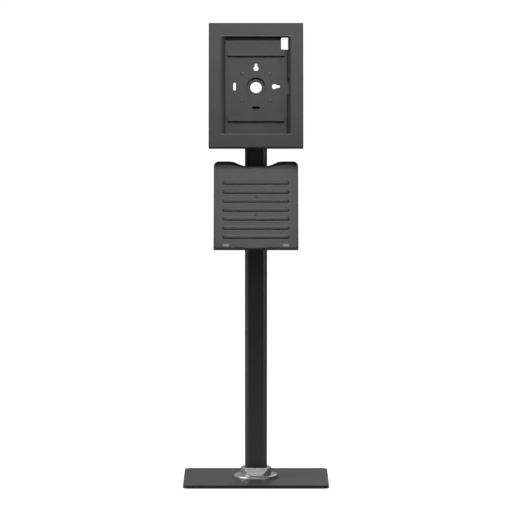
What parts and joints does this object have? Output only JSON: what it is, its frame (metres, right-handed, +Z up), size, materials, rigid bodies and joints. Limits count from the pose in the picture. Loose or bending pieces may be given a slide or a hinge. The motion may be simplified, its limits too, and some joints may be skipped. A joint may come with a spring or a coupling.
{
  "type": "tablet security kiosk stand",
  "caption": "Floor stand with a flat base, an upright post, a tilting and turning lockable tablet frame with a hinged front, and a ribbed document tray on a sliding clamp.",
  "frame": {"origin": "centre of the base's footprint on the floor", "axes": "+Z up the post, -Y towards the person who uses the stand, +X to that person's right"},
  "size_m": [0.4, 0.3, 1.2691],
  "materials": {
    "grey_powder_coat": "fine-textured charcoal grey powder coat on steel",
    "black_powder_coat": "satin black powder coat",
    "foot_enamel": "satin dark grey enamel on a casting",
    "black_oxide_steel": "black oxide socket screws and nuts",
    "zinc_plate": "bright zinc-plated steel",
    "lock_chrome": "polished nickel chrome lock barrel",
    "rubber_black": "matt black moulded rubber",
    "nylon_black": "matt black nylon"
  },
  "bodies": {
    "stand": {"base_plate": "grey_powder_coat", "rubber_feet": "rubber_black", "foot_casting": "foot_enamel", "base_screws": "black_oxide_steel", "post": "black_powder_coat", "post_screws": "black_oxide_steel", "cable_grommets": "rubber_black", "tilt_yoke": "grey_powder_coat", "yoke_screws": "black_oxide_steel", "tilt_bolts": "black_oxide_steel", "tilt_washers": "black_oxide_steel", "tilt_nuts": "black_oxide_steel"},
    "tilt_head": {"tilt_carrier": "grey_powder_coat", "swivel_washer": "nylon_black", "retainer_ring": "grey_powder_coat", "retainer_screws": "black_oxide_steel"},
    "enclosure": {"swivel_plate": "grey_powder_coat", "vesa_screws": "black_oxide_steel", "back_box": "grey_powder_coat", "support_rails": "grey_powder_coat", "tablet_spacers": "rubber_black", "lock_body": "lock_chrome", "lock_ring_nut": "zinc_plate", "wall_hinge_leaf": "zinc_plate", "hinge_pin": "zinc_plate"},
    "lid": {"front_frame": "grey_powder_coat", "lid_hinge_leaf": "zinc_plate", "lid_catch": "grey_powder_coat", "window_strips": "rubber_black"},
    "lock": {"lock_plug": "lock_chrome", "lock_cam": "zinc_plate", "cam_screw": "black_oxide_steel"},
    "tray_carriage": {"clamp_front": "black_powder_coat", "clamp_rear": "black_powder_coat", "clamp_liners": "nylon_black", "clamp_bolts": "black_oxide_steel", "clamp_nuts": "black_oxide_steel"},
    "tray": {"tray_panel": "grey_powder_coat", "tray_screws": "black_oxide_steel", "tray_bracket": "grey_powder_coat", "tray_pivot_bolt": "black_oxide_steel", "tray_pivot_nut": "black_oxide_steel", "tray_pivot_washers": "nylon_black"}
  },
  "joints": [
    {"name": "head_tilt", "type": "hinge", "parent": "stand", "child": "tilt_head", "pos_m": [0, 0, 1.082], "axis": [-1, 0, 0], "range_deg": [-13, 47]},
    {"name": "enclosure_turn", "type": "hinge", "parent": "tilt_head", "child": "enclosure", "pos_m": [0, -0.06041, 1.09595], "axis": [0, -0.9744, 0.225], "range_deg": [-90, 90]},
    {"name": "lid_swing", "type": "hinge", "parent": "enclosure", "child": "lid", "pos_m": [0.126, -0.08233, 1.10101], "axis": [0, 0.225, 0.9744], "range_deg": [0, 110]},
    {"name": "lock_turn", "type": "hinge", "parent": "enclosure", "child": "lock", "pos_m": [-0.127, -0.07113, 1.09842], "axis": [-1, 0, 0], "range_deg": [0, 90]},
    {"name": "tray_slide", "type": "slide", "parent": "stand", "child": "tray_carriage", "axis": [0, 0, 1], "range_m": [-0.4, 0.02]},
    {"name": "tray_tilt", "type": "hinge", "parent": "tray_carriage", "child": "tray", "pos_m": [0, -0.05633, 0.76248], "axis": [-1, 0, 0], "range_deg": [-20, 2]}
  ]
}
